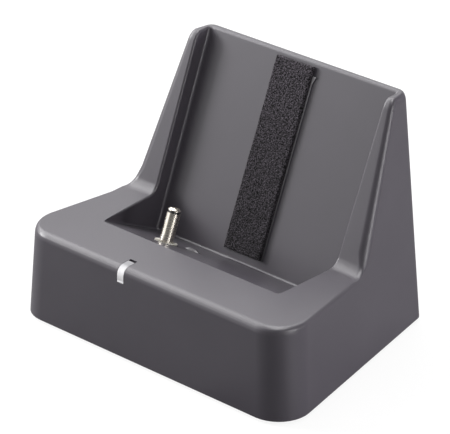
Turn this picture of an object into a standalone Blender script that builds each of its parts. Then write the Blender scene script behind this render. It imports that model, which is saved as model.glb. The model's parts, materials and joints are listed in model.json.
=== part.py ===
"""Desktop charging cradle for a belt-worn radio transmitter.

Metres, X to the right, Y to the back, Z up. The design frame has its origin under the middle of the front
edge, on the plane of the housing's bottom rim. The root empty moves it to the middle of the footprint, at the
height of the feet.
"""

from math import atan, copysign, cos, pi, radians, sin, sqrt, tan

import bmesh
import bpy
from mathutils import Matrix, Vector

# Housing, overall
FRONT_WIDTH = 0.1000  # where the side planes meet the front plane, at the bottom
DEPTH = 0.0717
BASE_HEIGHT = 0.0262
BACK_HEIGHT = 0.0688
WALL = 0.0020

# Housing, slopes of its planes as run over rise
SIDE_DRAFT = tan(radians(3.2))
FRONT_DRAFT = tan(radians(3.0))
BACK_DRAFT = tan(radians(4.5))
LEAN = radians(23.7)  # backrest, cheek fronts and plug
FLOOR_ANGLE = radians(27.2)  # the pocket's floor falls towards the backrest
POCKET_TAPER = tan(radians(2.0))  # the pocket opens towards the backrest

# Housing, the pocket and the cheeks beside it
POCKET_WIDTH = 0.0648  # at the floor's deepest line
POCKET_DEPTH = 0.0275  # from the floor's front edge to the backrest, at the height of the base's top
CHEEK_REACH = 0.0056  # how far the cheeks stand in front of the backrest
CHEEK_TOP_WIDTH = 0.0020
BACK_LIP = 0.0023  # what is left of the top behind the pocket

# Housing, rounded edges
FRONT_CORNER_RADIUS = 0.0092
BACK_CORNER_RADIUS = 0.0030
CHEEK_EDGE_RADIUS = 0.0024  # on the lower part of a cheek, which narrows upwards
CHEEK_EDGE_TOP_RADIUS = 0.0014
CHEEK_BLEND_HEIGHT = 0.0050
FRONT_EDGE_RADIUS = 0.0023
SIDE_EDGE_RADIUS = 0.0010
SIDE_EDGE_FADE = 0.0040
TOE_GAP = 0.0003  # between a cheek's foot and the start of the side edge's rounding
FOOT_FILLET_RADIUS = 0.0042
TOP_EDGE_HEIGHT = 0.0026
TOP_SIDE_ROUND = 0.0011
TOP_FRONT_ROUND = 0.0013
TOP_BACK_ROUND = 0.0010
RIM_RADIUS = 0.0007
CREASE_RADIUS = 0.0008

# Housing, inner bosses and the small rib on the floor
BOSS_DIAMETER = 0.0060
FRONT_BOSS_Y = 0.0200
BACK_BOSS_GAP = 0.0197  # from the back
BACK_BOSS_INSET = 0.0086  # from the side
BACK_BOSS_HEIGHT = 0.0140
BACK_BOSS_RIB = 0.0012
RIB_X = -0.0092
RIB_SETBACK = 0.0118  # from the floor's front edge
RIB_SIZE = (0.0022, 0.0008, 0.0004)

# Light pipe
PIPE_X = -0.0095
PIPE_WIDTH = 0.0022
PIPE_BACK_Y = 0.0057
PIPE_DROP = 0.0045  # how far it comes down the front
SLOT_BACK_Y = 0.0067
STEM_FRONT_Y = 0.0042
STEM_BACK_Y = 0.0072

# Charging plug, heights from the floor along its axis
PLUG_X = -0.0151
PLUG_SETBACK = 0.0074  # from the floor's front edge
PLUG_ROOT = -0.0070
SLEEVE_TOP = 0.0084
SLEEVE_DIAMETER = 0.0038
SLEEVE_BORE = 0.0028
INSULATOR_TOP = 0.0089
INSULATOR_RING_DIAMETER = 0.0032
TIP_TOP = 0.0098
TIP_DIAMETER = 0.0036
TIP_CHAMFER = 0.0005
CONTACT_DIAMETER = 0.0016
CONTACT_BORE = 0.0011
COLLAR_TOP = 0.0004
COLLAR_DIAMETER = 0.0064
FLANGE_DIAMETER = 0.0092
FLANGE_HEIGHT = 0.0014
FLANGE_DROP = 0.0005  # under the floor's wall, which leans a little from the plug

# Carrier that holds the plug under the floor
CARRIER_WIDTH = 0.0200
CARRIER_DEPTH = 0.0100
CARRIER_HEIGHT = 0.0049
CARRIER_BOSS_X = 0.0073
CARRIER_BOSS_DIAMETER = 0.0046

# Cushion strip on the backrest
STRIP_X = -0.0011  # a little left of the middle
STRIP_WIDTH = 0.0131
STRIP_RISE = 0.0026  # above the pocket's crease
STRIP_TOP_GAP = 0.0011  # below the housing's top
STRIP_THICKNESS = 0.0012
ADHESIVE_MARGIN = 0.0002  # how far the film shows on each side
ADHESIVE_THICKNESS = 0.0002
ADHESIVE_TOP_GAP = 0.0026  # how far the film stops short of the foam's top

# Bottom cover and feet
COVER_LOW_Z = 0.0003
COVER_THICKNESS = 0.0020
FOOT_STANDOFF = 0.0010
FOOT_DIAMETER = 0.0100
FOOT_EDGE = 0.0005
FOOT_RECESS = 0.0010
FRONT_FOOT_Y = 0.0092
FRONT_FOOT_INSET = 0.0129  # from the side
BACK_FOOT_GAP = 0.0085  # from the back
BACK_FOOT_INSET = 0.0102
POST_DIAMETER = 0.0050

# Circuit board
BOARD_X = (-0.0205, 0.0140)
BOARD_FRONT_Y = 0.0045
BOARD_BACK_GAP = 0.0057
BOARD_LOW_Z = 0.0060
BOARD_THICKNESS = 0.0016
BOARD_SCREW_X = (-0.0180, 0.0105)
BOARD_SCREW_FRONT_Y = 0.0140
BOARD_SCREW_BACK_GAP = 0.0137
LED_SIZE = (0.0020, 0.0026, 0.0020)
CONTROLLER_SIZE = (0.0050, 0.0050, 0.0010)
CONTROLLER_PLACE = (-0.0030, 0.0320)
INDUCTOR_SIZE = (0.0065, 0.0065, 0.0030)
INDUCTOR_PLACE = (0.0040, 0.0110)
CAPACITOR_DIAMETER = 0.0063
CAPACITOR_HEIGHT = 0.0070
CAPACITOR_PLACE = (0.0040, 0.0220)
HEADER_SIZE = (0.0070, 0.0040, 0.0036)
HEADER_SETBACK = 0.0050  # from the plug
LEAD_DIAMETER = 0.0009
LEAD_SPACING = 0.0014
LEAD_DROP = 0.0020
LEAD_BEND = 0.0015

# Power inlet in the back wall
INLET_WIDTH = 0.0090
INLET_HEIGHT = 0.0110
INLET_LENGTH = 0.0124
INLET_BACK_GAP = 0.0041
NOSE_DIAMETER = 0.0080
NOSE_RECESS = 0.0003
INLET_BORE = 0.0063
INLET_BORE_DEPTH = 0.0096
PIN_DIAMETER = 0.0020
PIN_REACH = 0.0014  # past the body's back
SPRING_SIZE = (0.0018, 0.0090, 0.0003)

# Screws, each as head diameter, head height, shank diameter and shank length
COVER_SCREW = (0.0046, 0.0010, 0.0020, 0.0090)
COVER_SCREW_HEAD_Z = 0.0004
BOARD_SCREW = (0.0036, 0.0013, 0.0016, 0.0054)
CARRIER_SCREW = (0.0036, 0.0013, 0.0016, 0.0076)

# Fits
FIT = 0.0003  # between pieces side by side
SEAT = 0.0002  # under a piece that rests on another
SLIM_FIT = 0.0001  # round the smallest pieces
PIPE_FIT = 0.00012
PLUG_FIT = 0.00015

# Facets of the rounded edges
CORNER_STEPS = 10
EDGE_STEPS = 6
RIM_STEPS = 4
ROUND_STEPS = 28
LEAD_STEPS = 8
SHARP_ANGLE = radians(26)

OVERSHOOT = 0.010  # how far a cutter runs past what it cuts
OVERLAP = 0.0006  # how far a boss runs into the wall it grows from

# Places that follow from the sizes: along Y at the height of the base's top, then the sides' slope
RECLINE = tan(LEAN)
FLOOR_SLOPE = tan(FLOOR_ANGLE)
LIP_Y = DEPTH - BACK_DRAFT * BACK_HEIGHT - BACK_LIP
BACKREST_FOOT_Y = LIP_Y - RECLINE * (BACK_HEIGHT - BASE_HEIGHT)
CHEEK_FOOT_Y = BACKREST_FOOT_Y - CHEEK_REACH
FLOOR_FRONT_Y = BACKREST_FOOT_Y - POCKET_DEPTH
CREASE_Y = BACKREST_FOOT_Y - POCKET_DEPTH * RECLINE * FLOOR_SLOPE / (1 + RECLINE * FLOOR_SLOPE)
LIP_HALF_WIDTH = POCKET_WIDTH / 2 + POCKET_TAPER * (LIP_Y - CREASE_Y) + CHEEK_TOP_WIDTH
SIDE_TAPER = (FRONT_WIDTH / 2 - SIDE_DRAFT * BACK_HEIGHT - LIP_HALF_WIDTH) / LIP_Y
SLICE_SPREAD = sqrt(1 + SIDE_TAPER**2)
SIDE_SPREAD = sqrt(1 + SIDE_TAPER**2 + SIDE_DRAFT**2)

# Places and fits of the pieces in the housing
BOARD_TOP_Z = BOARD_LOW_Z + BOARD_THICKNESS
PIPE_LOW_Z = BASE_HEIGHT - PIPE_DROP
STEM_LOW_Z = BOARD_TOP_Z + SLIM_FIT + LED_SIZE[2] + SEAT
PLUG_Y = FLOOR_FRONT_Y + PLUG_SETBACK
INSULATOR_DIAMETER = SLEEVE_BORE - 2 * SLIM_FIT
INSULATOR_BORE = CONTACT_DIAMETER + 2 * SLIM_FIT
COLLAR_BORE = SLEEVE_DIAMETER + 2 * PLUG_FIT
PLUG_HOLE_DIAMETER = COLLAR_DIAMETER + 2 * FIT
FLANGE_TOP = -WALL - FLANGE_DROP
FLANGE_LOW = FLANGE_TOP - FLANGE_HEIGHT
CARRIER_TOP = FLANGE_LOW - SEAT
CARRIER_LOW = CARRIER_TOP - CARRIER_HEIGHT
CARRIER_BORE = SLEEVE_DIAMETER + 2 * FIT
HEADER_PLACE = (PLUG_X + LEAD_SPACING / 2, PLUG_Y + HEADER_SETBACK)
INLET_BACK_Y = DEPTH - INLET_BACK_GAP
INLET_FRONT_Y = INLET_BACK_Y - INLET_LENGTH
INLET_BORE_FRONT_Y = INLET_BACK_Y - INLET_BORE_DEPTH
INLET_HOLE_DIAMETER = NOSE_DIAMETER + 2 * FIT


# Planes of the housing


def side_at(y, z, inset=0.0):
    """Half width of the housing, on a plane moved in by inset."""
    return FRONT_WIDTH / 2 - SIDE_TAPER * y - SIDE_DRAFT * z - inset * SIDE_SPREAD


def front_at(z, inset=0.0):
    return FRONT_DRAFT * z + inset * sqrt(1 + FRONT_DRAFT**2)


def back_at(z, inset=0.0):
    return DEPTH - BACK_DRAFT * z - inset * sqrt(1 + BACK_DRAFT**2)


def recline_at(foot_y, z, inset=0.0):
    """A plane that leans back from foot_y at the base's top, moved back by inset."""
    return foot_y + RECLINE * (z - BASE_HEIGHT) + inset / cos(LEAN)


def floor_at(y, inset=0.0):
    """Height of the pocket's floor, moved down by inset."""
    return BASE_HEIGHT - FLOOR_SLOPE * (y - FLOOR_FRONT_Y) - inset / cos(FLOOR_ANGLE)


def pocket_crease(inset=0.0):
    """Where the floor meets the backrest, as (y, z)."""
    floor_zero = floor_at(0.0, inset)
    rest_zero = recline_at(BACKREST_FOOT_Y, 0.0, inset)
    y = (rest_zero + RECLINE * floor_zero) / (1 + RECLINE * FLOOR_SLOPE)
    return y, floor_at(y, inset)


def pocket_half_width(y, inset=0.0):
    return POCKET_WIDTH / 2 + POCKET_TAPER * (y - CREASE_Y) + inset


# Slices of the housing


def rounded_in(z, top, height, depth):
    """How far an edge rounding has pulled a wall in at z, where the rounding ends at top."""
    share = min(max((z - (top - height)) / height, 0.0), 1.0)
    return depth * (1 - sqrt(1 - share**2))


def rounding_levels(top, height):
    """Heights of the facet lines of an edge rounding, from its start to top."""
    return [top - height * (1 - sin(pi / 2 * k / EDGE_STEPS)) for k in range(EDGE_STEPS + 1)]


def corner(line_y, facing, z, inset, radius, line_cut=0.0, side_cut=0.0):
    """Rounded corner at height z, from the right side to a line across X that faces front, -1, or back, 1."""
    centre_y = line_y - facing * radius
    centre_x = side_at(centre_y, z, inset) - radius * SLICE_SPREAD
    start = atan(SIDE_TAPER)
    points = []
    for k in range(CORNER_STEPS + 1):
        share = k / CORNER_STEPS
        turn = start + (facing * pi / 2 - start) * share
        reach = radius - side_cut - (line_cut - side_cut) * share
        points.append(Vector((centre_x + reach * cos(turn), centre_y + reach * sin(turn), z)))
    return points


def mirrored(points):
    return [Vector((-p.x, p.y, p.z)) for p in points]


def cheek_front_at(z, inset):
    """Y of the cheeks' fronts, with the fillet at their foot."""
    turn = pi / 2 - LEAN
    rise = z - BASE_HEIGHT
    if inset or rise >= FOOT_FILLET_RADIUS * (1 - cos(turn)):
        return recline_at(CHEEK_FOOT_Y, z, inset)
    start = CHEEK_FOOT_Y - FOOT_FILLET_RADIUS * tan(turn / 2)
    return start + sqrt(FOOT_FILLET_RADIUS**2 - (FOOT_FILLET_RADIUS - rise) ** 2)


def cheek_edge_radius(z):
    """Radius of the cheeks' outer edges: small at the foot, then wide, then closing in to the top."""
    blend_z = BASE_HEIGHT + CHEEK_BLEND_HEIGHT
    if z < blend_z:
        share = max(z - BASE_HEIGHT, 0.0) / CHEEK_BLEND_HEIGHT
        return SIDE_EDGE_RADIUS + (CHEEK_EDGE_RADIUS - SIDE_EDGE_RADIUS) * share
    share = (z - blend_z) / (BACK_HEIGHT - blend_z)
    return CHEEK_EDGE_RADIUS + (CHEEK_EDGE_TOP_RADIUS - CHEEK_EDGE_RADIUS) * share


def back_corner(z, inset, back_cut=0.0, side_cut=0.0):
    radius = max(BACK_CORNER_RADIUS - inset, SIDE_EDGE_RADIUS)
    return corner(back_at(z, inset), 1, z, inset, radius, back_cut, side_cut)


def plate_ring(z, inset):
    """Slice through the base, as a plain outline."""
    front = corner(front_at(z, inset), -1, z, inset, FRONT_CORNER_RADIUS - inset)
    back = back_corner(z, inset)
    return front + mirrored(front[::-1]) + mirrored(back) + back[::-1]


def base_ring(z, foot_y, inset):
    """Slice through the base: right foot, right side, front, left side, left foot, back."""
    top = BASE_HEIGHT - inset
    front_cut = side_cut = 0.0
    if not inset:
        front_cut = rounded_in(z, top, FRONT_EDGE_RADIUS, FRONT_EDGE_RADIUS)
        side_cut = rounded_in(z, top, SIDE_EDGE_RADIUS, SIDE_EDGE_RADIUS)
    toe_y = cheek_front_at(top, inset) - TOE_GAP
    shoulder_y = toe_y - SIDE_EDGE_FADE
    flank = [Vector((side_at(y, z, inset), y, z)) for y in (foot_y, toe_y)]
    flank.append(Vector((side_at(shoulder_y, z, inset) - side_cut * SLICE_SPREAD, shoulder_y, z)))
    flank += corner(front_at(z, inset), -1, z, inset, FRONT_CORNER_RADIUS - inset, front_cut, side_cut)
    back = back_corner(z, inset)
    return flank + mirrored(flank[::-1]) + mirrored(back) + back[::-1]


def upper_ring(z, inset):
    """Slice above the base: cheek fronts from right to left, then the back."""
    top = BACK_HEIGHT - inset
    cuts = [0.0, 0.0, 0.0]
    if not inset:
        depths = (TOP_SIDE_ROUND, TOP_FRONT_ROUND, TOP_BACK_ROUND)
        cuts = [rounded_in(z, top, TOP_EDGE_HEIGHT, depth) for depth in depths]
    radius = max(cheek_edge_radius(z) - inset, SIDE_EDGE_RADIUS)
    cheek = corner(cheek_front_at(z, inset), -1, z, inset, radius, cuts[1], cuts[0])
    back = back_corner(z, inset, cuts[2], cuts[0])
    return cheek + mirrored(cheek[::-1]) + mirrored(back) + back[::-1]


# Forms


def wall_between(form, lower, higher):
    """Joins two rings of vertices, in the same order, by a wall of quads."""
    for k in range(len(lower)):
        n = (k + 1) % len(lower)
        form.faces.new((lower[k], lower[n], higher[n], higher[k]))


def lofted(rings):
    """Closed form through rings of points."""
    form = bmesh.new()
    loops = [[form.verts.new(p) for p in ring] for ring in rings]
    for lower, higher in zip(loops, loops[1:]):
        wall_between(form, lower, higher)
    form.faces.new(loops[0])
    form.faces.new(loops[-1])
    bmesh.ops.recalc_face_normals(form, faces=form.faces)
    return form


def box(x, y, z, frame=None):
    """Box between two values on each axis."""
    rings = [[Vector((x[i], y[j], level)) for i, j in ((0, 0), (1, 0), (1, 1), (0, 1))] for level in z]
    form = lofted(rings)
    if frame:
        form.transform(frame)
    return form


def placed_box(size, place, low_z):
    """Box of a size that stands on low_z with its middle at place."""
    return box(*((c - s / 2, c + s / 2) for c, s in zip(place, size)), (low_z, low_z + size[2]))


def prism(outline, x):
    """Outline of (y, z) points, run along X."""
    return lofted([[Vector((level, *point)) for point in outline] for level in x])


def revolved(profile, frame, hollow=False):
    """Profile of (radius, height) points, turned round the frame's Z. A hollow one is a closed loop."""
    form = bmesh.new()
    columns = []
    axis = {}
    for k in range(ROUND_STEPS):
        turn = 2 * pi * k / ROUND_STEPS
        column = []
        for radius, height in profile:
            if radius:
                column.append(form.verts.new((radius * cos(turn), radius * sin(turn), height)))
            else:
                column.append(axis.get(height) or form.verts.new((0.0, 0.0, height)))
                axis[height] = column[-1]
        columns.append(column)
    count = len(profile)
    for k in range(ROUND_STEPS):
        here, there = columns[k], columns[(k + 1) % ROUND_STEPS]
        for j in range(count if hollow else count - 1):
            n = (j + 1) % count
            face = [here[j], there[j], there[n], here[n]]
            form.faces.new(list(dict.fromkeys(face)))
    bmesh.ops.recalc_face_normals(form, faces=form.faces)
    form.transform(frame)
    return form


def rod(diameter, low, high, frame):
    radius = diameter / 2
    return revolved([(0.0, low), (radius, low), (radius, high), (0.0, high)], frame)


def tube(diameter, bore, low, high, frame):
    outer, inner = diameter / 2, bore / 2
    return revolved([(outer, high), (outer, low), (inner, low), (inner, high)], frame, hollow=True)


def swept(path, diameter, x):
    """Round bar along a path of (y, z) points at one x."""
    points = [Vector((x, *point)) for point in path]
    rings = []
    for k, point in enumerate(points):
        steps = [(points[n + 1] - points[n]).normalized() for n in (k - 1, k) if 0 <= n < len(points) - 1]
        along = sum(steps, Vector()).normalized()
        across = along.cross(Vector((1, 0, 0))) / along.dot(steps[0])
        ring = []
        for j in range(LEAD_STEPS):
            turn = 2 * pi * j / LEAD_STEPS
            ring.append(point + (across * cos(turn) + Vector((1, 0, 0)) * sin(turn)) * diameter / 2)
        rings.append(ring)
    return lofted(rings)


def round_edges(form, edges, radius):
    style = {"offset_type": "OFFSET", "segments": RIM_STEPS, "profile": 0.5, "affect": "EDGES"}
    bmesh.ops.bevel(form, geom=edges, offset=radius, **style)


def joined(forms):
    """One form of several separate ones, for a cutter with many bodies."""
    whole = bmesh.new()
    for form in forms:
        mesh = bpy.data.meshes.new("joined")
        form.to_mesh(mesh)
        form.free()
        whole.from_mesh(mesh)
        bpy.data.meshes.remove(mesh)
    return whole


# Places


def at(x, y, z=0.0):
    return Matrix.Translation((x, y, z))


def leaning(x, y, z):
    """Frame whose Z runs up along the backrest and whose Y runs back into it."""
    return at(x, y, z) @ Matrix.Rotation(-LEAN, 4, "X")


def plug_frame(x=PLUG_X):
    return leaning(x, PLUG_Y, floor_at(PLUG_Y))


def facing_back(x, z):
    """Frame whose Z runs along the design frame's Y."""
    return at(x, 0.0, z) @ Matrix.Rotation(-pi / 2, 4, "X")


def both_sides(x, y):
    return [(sign * x, y) for sign in (1, -1)]


def front_boss_places():
    """Midway between the pocket's wall and the side."""
    return both_sides((pocket_half_width(FRONT_BOSS_Y) + side_at(FRONT_BOSS_Y, 0.0)) / 2, FRONT_BOSS_Y)


def back_boss_places():
    y = DEPTH - BACK_BOSS_GAP
    return both_sides(side_at(y, 0.0) - BACK_BOSS_INSET, y)


def foot_places():
    back_y = DEPTH - BACK_FOOT_GAP
    front = both_sides(side_at(FRONT_FOOT_Y, 0.0) - FRONT_FOOT_INSET, FRONT_FOOT_Y)
    return front + both_sides(side_at(back_y, 0.0) - BACK_FOOT_INSET, back_y)


def board_screw_places():
    return [(x, y) for y in (BOARD_SCREW_FRONT_Y, DEPTH - BOARD_SCREW_BACK_GAP) for x in BOARD_SCREW_X]


def inlet_z():
    return BOARD_TOP_Z + SEAT + INLET_HEIGHT / 2


# Objects


def material(name, colour, roughness, metallic=0.0):
    made = bpy.data.materials.get(name)
    if made:
        return made
    made = bpy.data.materials.new(name)
    made.use_nodes = True
    shader = made.node_tree.nodes["Principled BSDF"]
    shader.inputs["Base Color"].default_value = (*colour, 1.0)
    shader.inputs["Roughness"].default_value = roughness
    shader.inputs["Metallic"].default_value = metallic
    made.diffuse_color = (*colour, 1.0)
    return made


def add_object(name, form, root, finish=None):
    """Makes an object of a form. Without a finish it is a cutter or another helper."""
    mesh = bpy.data.meshes.new(name)
    form.to_mesh(mesh)
    form.free()
    made = bpy.data.objects.new(name, mesh)
    bpy.context.scene.collection.objects.link(made)
    made.parent = root
    if finish:
        mesh.materials.append(finish)
        mesh.shade_smooth()
        mesh.set_sharp_from_angle(angle=SHARP_ANGLE)
    else:
        made.hide_render = True
        made.display_type = "WIRE"
    return made


def combine(target, other, operation):
    modifier = target.modifiers.new(f"{operation.lower()} {other.name}", "BOOLEAN")
    modifier.operation = operation
    modifier.solver = "EXACT"
    modifier.object = other


def evaluated_form(target):
    """The object's mesh with its modifiers, as a bmesh."""
    graph = bpy.context.evaluated_depsgraph_get()
    form = bmesh.new()
    form.from_object(target, graph)
    return form


# Housing


def body_form(inset, low):
    """The housing's outer form, or the same moved in by inset: slices joined by walls, with flat caps."""
    top, peak = BASE_HEIGHT - inset, BACK_HEIGHT - inset
    base_levels, upper_levels = [low, top], [top, peak]
    if not inset:
        turn = pi / 2 - LEAN
        foot_turns = [turn * k / EDGE_STEPS for k in range(EDGE_STEPS + 1)]
        base_levels = sorted(
            {low, *rounding_levels(top, FRONT_EDGE_RADIUS), *rounding_levels(top, SIDE_EDGE_RADIUS)[:-1]}
        )
        upper_levels = [top + FOOT_FILLET_RADIUS * (1 - cos(t)) for t in foot_turns]
        upper_levels += [top + CHEEK_BLEND_HEIGHT] + rounding_levels(peak, TOP_EDGE_HEIGHT)
    form = bmesh.new()
    first = upper_ring(top, inset)
    base = [[form.verts.new(p) for p in base_ring(z, first[0].y, inset)] for z in base_levels]
    front_count = 2 * (CORNER_STEPS + 4)
    cheek_count = 2 * (CORNER_STEPS + 1)
    rim = base[-1]
    joint = [rim[0]] + [form.verts.new(p) for p in first[1 : cheek_count - 1]] + rim[front_count - 1 :]
    upper = [joint] + [[form.verts.new(p) for p in upper_ring(z, inset)] for z in upper_levels[1:]]
    for rings in (base, upper):
        for lower, higher in zip(rings, rings[1:]):
            wall_between(form, lower, higher)
    form.faces.new(base[0])
    form.faces.new(rim[:front_count] + joint[1 : cheek_count - 1][::-1])
    form.faces.new(upper[-1])
    bmesh.ops.recalc_face_normals(form, faces=form.faces)
    return form


def pocket_form(inset=0.0):
    """The space that the pack stands in, run past the housing at its mouth."""
    high = BACK_HEIGHT + OVERSHOOT
    front_y = FLOOR_FRONT_Y - OVERSHOOT - inset
    profile = [
        (front_y, floor_at(front_y, inset)),
        pocket_crease(inset),
        (recline_at(BACKREST_FOOT_Y, high, inset), high),
        (front_y, high),
    ]
    form = bmesh.new()
    sides = []
    for sign in (1, -1):
        sides.append([form.verts.new((sign * pocket_half_width(y, inset), y, z)) for y, z in profile])
        form.faces.new(sides[-1])
    wall_between(form, *sides)
    bmesh.ops.recalc_face_normals(form, faces=form.faces)
    if not inset:
        hollow = [form.edges.get((side[k], side[k + 1])) for side in sides for k in (0, 1)]
        hollow.append(form.edges.get((sides[0][1], sides[1][1])))
        round_edges(form, hollow, CREASE_RADIUS)
    return form


def round_rim(form):
    """Rounds the pocket's rim along its side walls and along the top of the backrest."""
    rim = []
    for edge in form.edges:
        ends = [v.co for v in edge.verts]
        on_wall = all(abs(abs(p.x) - pocket_half_width(p.y)) < 2e-6 for p in ends)
        above = all(p.z > BASE_HEIGHT - 1e-6 for p in ends)
        on_lip = all(p.z > BACK_HEIGHT - 1e-6 and p.y < recline_at(BACKREST_FOOT_Y, p.z) + 1e-6 for p in ends)
        if (on_lip or on_wall and above) and edge.is_convex and edge.calc_face_angle() > SHARP_ANGLE:
            rim.append(edge)
    round_edges(form, rim, RIM_RADIUS)


def housing_bosses():
    """Screw bosses, and the rib on the floor."""
    low = COVER_LOW_Z + COVER_THICKNESS + SEAT
    ceiling = BASE_HEIGHT - WALL + OVERLAP
    forms = [rod(BOSS_DIAMETER, low, ceiling, at(*place)) for place in front_boss_places()]
    forms += [rod(BOSS_DIAMETER, low, BACK_BOSS_HEIGHT, at(*place)) for place in back_boss_places()]
    for sign in (1, -1):
        frame = plug_frame(PLUG_X + sign * CARRIER_BOSS_X)
        forms.append(rod(CARRIER_BOSS_DIAMETER, CARRIER_TOP + SEAT, OVERLAP - WALL, frame))
    width, depth, height = RIB_SIZE
    y = FLOOR_FRONT_Y + RIB_SETBACK
    frame = at(RIB_X, y, floor_at(y)) @ Matrix.Rotation(-FLOOR_ANGLE, 4, "X")
    forms.append(box((-width / 2, width / 2), (-depth / 2, depth / 2), (-OVERLAP, height), frame))
    return joined(forms)


def housing_ribs():
    """Ribs that tie the back bosses to the side walls."""
    low = COVER_LOW_Z + COVER_THICKNESS + SEAT
    forms = []
    for x, y in back_boss_places():
        reach = copysign(side_at(y, 0.0, WALL) + OVERLAP, x)
        across = (y - BACK_BOSS_RIB / 2, y + BACK_BOSS_RIB / 2)
        forms.append(box(sorted((x, reach)), across, (low + SEAT, BACK_BOSS_HEIGHT - SEAT)))
    return joined(forms)


def housing_holes():
    """Screw holes, the light pipe's slot, the plug's hole and the inlet's hole."""
    forms = []
    depth = COVER_SCREW_HEAD_Z + COVER_SCREW[1] + COVER_SCREW[3] + FIT
    for place in front_boss_places() + back_boss_places():
        forms.append(rod(COVER_SCREW[2] + 2 * SLIM_FIT, 0.0, depth, at(*place)))
    top = CARRIER_LOW + CARRIER_SCREW[3] + FIT
    for sign in (1, -1):
        frame = plug_frame(PLUG_X + sign * CARRIER_BOSS_X)
        forms.append(rod(CARRIER_SCREW[2] + 2 * SLIM_FIT, CARRIER_TOP - OVERLAP, top, frame))
    half = PIPE_WIDTH / 2 + PIPE_FIT
    slot_z = (PIPE_LOW_Z - PIPE_FIT, BASE_HEIGHT + OVERSHOOT)
    forms.append(box((PIPE_X - half, PIPE_X + half), (-OVERSHOOT, SLOT_BACK_Y), slot_z))
    forms.append(rod(PLUG_HOLE_DIAMETER, -2 * WALL, 2 * WALL, plug_frame()))
    forms.append(rod(INLET_HOLE_DIAMETER, INLET_BACK_Y, DEPTH + OVERSHOOT, facing_back(0.0, inlet_z())))
    return joined(forms)


def build_housing(root):
    outside = add_object("outside_form", body_form(0.0, 0.0), root)
    pocket = add_object("pocket_cutter", pocket_form(), root)
    combine(outside, pocket, "DIFFERENCE")
    form = evaluated_form(outside)
    round_rim(form)
    shell = add_object("shell_form", form, root)
    cavity = add_object("cavity_cutter", body_form(WALL, -OVERSHOOT), root)
    kept = add_object("pocket_walls", pocket_form(WALL), root)
    combine(cavity, kept, "DIFFERENCE")
    combine(shell, cavity, "DIFFERENCE")
    combine(shell, add_object("boss_forms", housing_bosses(), root), "UNION")
    combine(shell, add_object("boss_ribs", housing_ribs(), root), "UNION")
    combine(shell, add_object("hole_cutters", housing_holes(), root), "DIFFERENCE")
    plastic = material("shell_plastic", (0.085, 0.082, 0.087), 0.5)
    add_object("cradle_housing", evaluated_form(shell), root, plastic)


# Base


def build_cover(root):
    low, high = COVER_LOW_Z, COVER_LOW_Z + COVER_THICKNESS
    plate = add_object("cover_form", lofted([plate_ring(z, WALL + FIT) for z in (low, high)]), root)
    post_top = BOARD_LOW_Z - SEAT
    posts = [rod(POST_DIAMETER, high - OVERLAP, post_top, at(*place)) for place in board_screw_places()]
    combine(plate, add_object("cover_posts", joined(posts), root), "UNION")
    cutters = []
    for place in foot_places():
        cutters.append(rod(FOOT_DIAMETER + 2 * FIT, -OVERSHOOT, low + FOOT_RECESS, at(*place)))
    head, head_height, shank, length = COVER_SCREW
    head_radius, hole_radius = head / 2 + FIT, shank / 2 + FIT
    shelf = COVER_SCREW_HEAD_Z + head_height + SLIM_FIT
    for place in front_boss_places() + back_boss_places():
        profile = [(0.0, -OVERSHOOT), (head_radius, -OVERSHOOT), (head_radius, shelf), (hole_radius, shelf)]
        profile += [(hole_radius, OVERSHOOT), (0.0, OVERSHOOT)]
        cutters.append(revolved(profile, at(*place)))
    pilot_low = BOARD_TOP_Z + SLIM_FIT - BOARD_SCREW[3] - FIT
    for place in board_screw_places():
        cutters.append(rod(BOARD_SCREW[2] + 2 * SLIM_FIT, pilot_low, BOARD_LOW_Z, at(*place)))
    combine(plate, add_object("cover_cutters", joined(cutters), root), "DIFFERENCE")
    plastic = material("cover_plastic", (0.020, 0.020, 0.021), 0.6)
    add_object("bottom_cover", evaluated_form(plate), root, plastic)


def build_feet(root):
    rubber = material("foot_rubber", (0.012, 0.012, 0.012), 0.9)
    radius = FOOT_DIAMETER / 2
    top = COVER_LOW_Z + FOOT_RECESS - SLIM_FIT
    profile = [(0.0, -FOOT_STANDOFF), (radius - FOOT_EDGE, -FOOT_STANDOFF)]
    profile += [(radius, FOOT_EDGE - FOOT_STANDOFF), (radius, top), (0.0, top)]
    for k, place in enumerate(foot_places(), 1):
        add_object(f"rubber_foot_{k}", revolved(profile, at(*place)), root, rubber)


def screw_form(size, frame):
    """Screw whose head starts at the frame's origin and whose shank runs along its Z."""
    head, head_height, shank, length = size
    profile = [(0.0, 0.0), (head / 2, 0.0), (head / 2, head_height), (shank / 2, head_height)]
    profile += [(shank / 2, head_height + length), (0.0, head_height + length)]
    return revolved(profile, frame)


def build_screws(root):
    steel = material("screw_steel", (0.55, 0.55, 0.53), 0.35, 1.0)
    for k, place in enumerate(front_boss_places() + back_boss_places(), 1):
        add_object(f"cover_screw_{k}", screw_form(COVER_SCREW, at(*place, COVER_SCREW_HEAD_Z)), root, steel)
    top = BOARD_TOP_Z + SLIM_FIT + BOARD_SCREW[1]
    for k, place in enumerate(board_screw_places(), 1):
        frame = at(*place, top) @ Matrix.Rotation(pi, 4, "X")
        add_object(f"board_screw_{k}", screw_form(BOARD_SCREW, frame), root, steel)
    head_low = CARRIER_LOW - SLIM_FIT - CARRIER_SCREW[1]
    for k, sign in enumerate((1, -1), 1):
        frame = plug_frame(PLUG_X + sign * CARRIER_BOSS_X) @ at(0.0, 0.0, head_low)
        add_object(f"carrier_screw_{k}", screw_form(CARRIER_SCREW, frame), root, steel)


# Light pipe, plug and strip


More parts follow.
